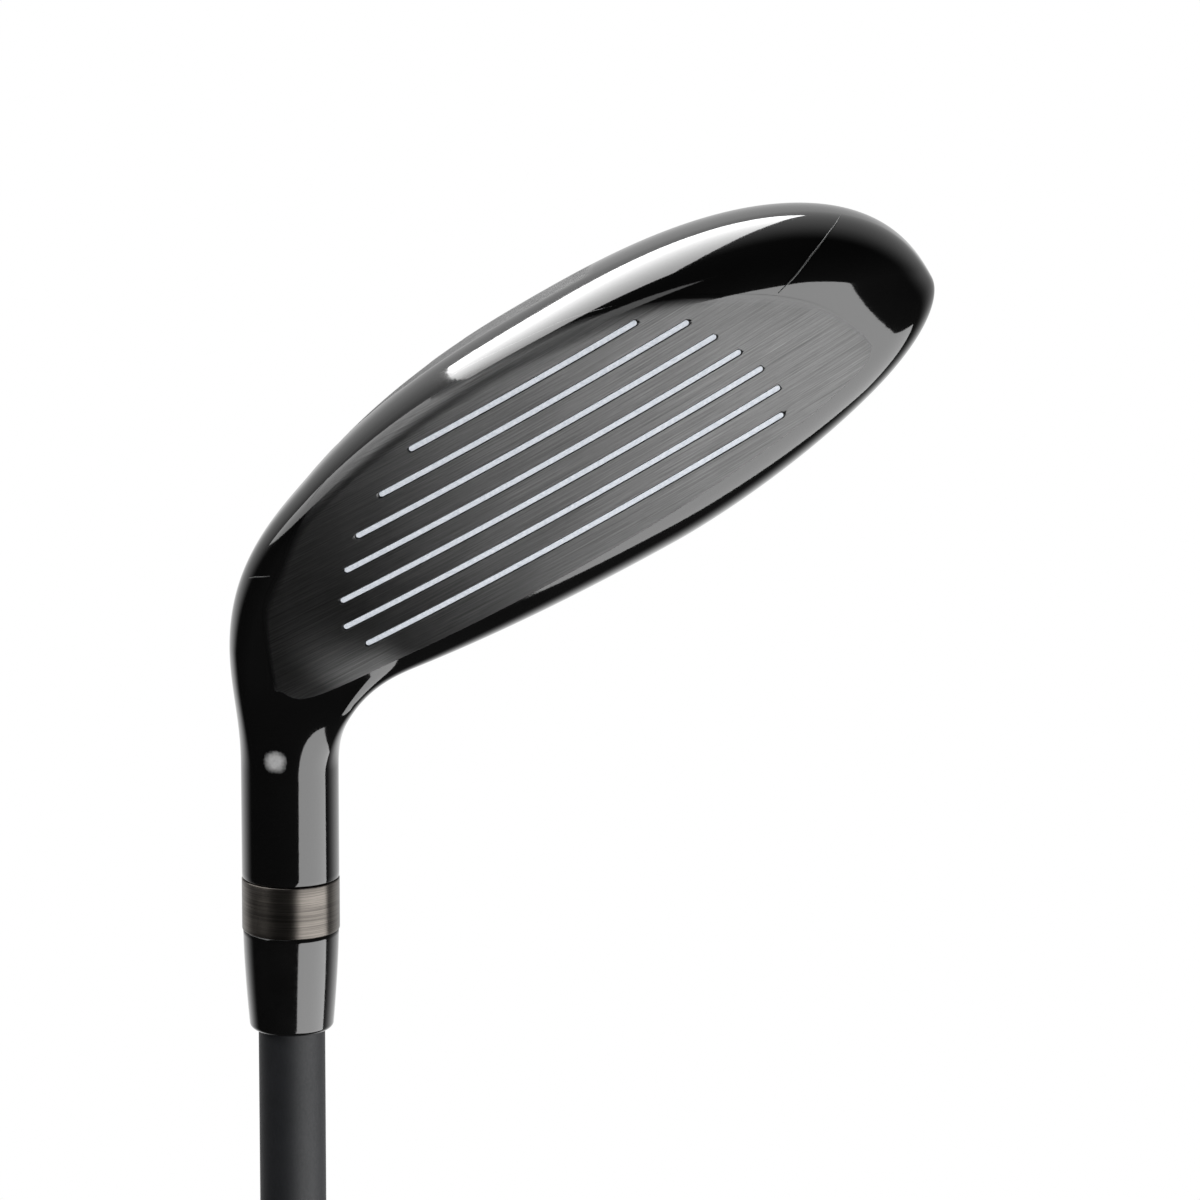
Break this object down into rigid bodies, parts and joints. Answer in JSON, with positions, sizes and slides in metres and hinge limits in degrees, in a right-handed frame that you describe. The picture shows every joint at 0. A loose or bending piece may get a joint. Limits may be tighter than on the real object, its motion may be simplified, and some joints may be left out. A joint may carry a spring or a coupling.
{
  "type": "hybrid golf club",
  "caption": "Right-handed hybrid golf club: hollow head with a lofted grooved face, bonded hosel with ring and ferrule, tapered shaft and rubber grip.",
  "frame": {"origin": "middle of the grip cap's outer face, at the mouth of its vent hole", "axes": "+Z along the shaft axis from the butt to the head; the striking face looks along -Y; the toe points to +X and +Z"},
  "size_m": [0.1037, 0.0616, 1.0423],
  "materials": {
    "black_coat": "gloss",
    "brushed_face": "brushed, dark plated",
    "line_paint": "matte paint",
    "crown_coat": "gloss",
    "mark_paint": "satin paint",
    "weight_metal": "satin",
    "ring_metal": "brushed gunmetal",
    "ferrule_plastic": "gloss",
    "bond_resin": "cured resin",
    "shaft_coat": "matte painted composite",
    "plug_brass": "turned",
    "tape_paper": "creped paper",
    "grip_rubber": "moulded texture",
    "cap_rubber": "smooth matte"
  },
  "bodies": {
    "root": {"head_body": "black_coat", "face_plate": "brushed_face", "score_line_fill": "line_paint", "crown_plate": "crown_coat", "alignment_mark": "mark_paint", "sole_weight": "weight_metal", "hosel_ring": "ring_metal", "ferrule": "ferrule_plastic", "shaft_bond": "bond_resin", "shaft": "shaft_coat", "tip_weight": "plug_brass", "grip_tape": "tape_paper", "grip_sleeve": "grip_rubber", "grip_cap": "cap_rubber"}
  },
  "joints": []
}
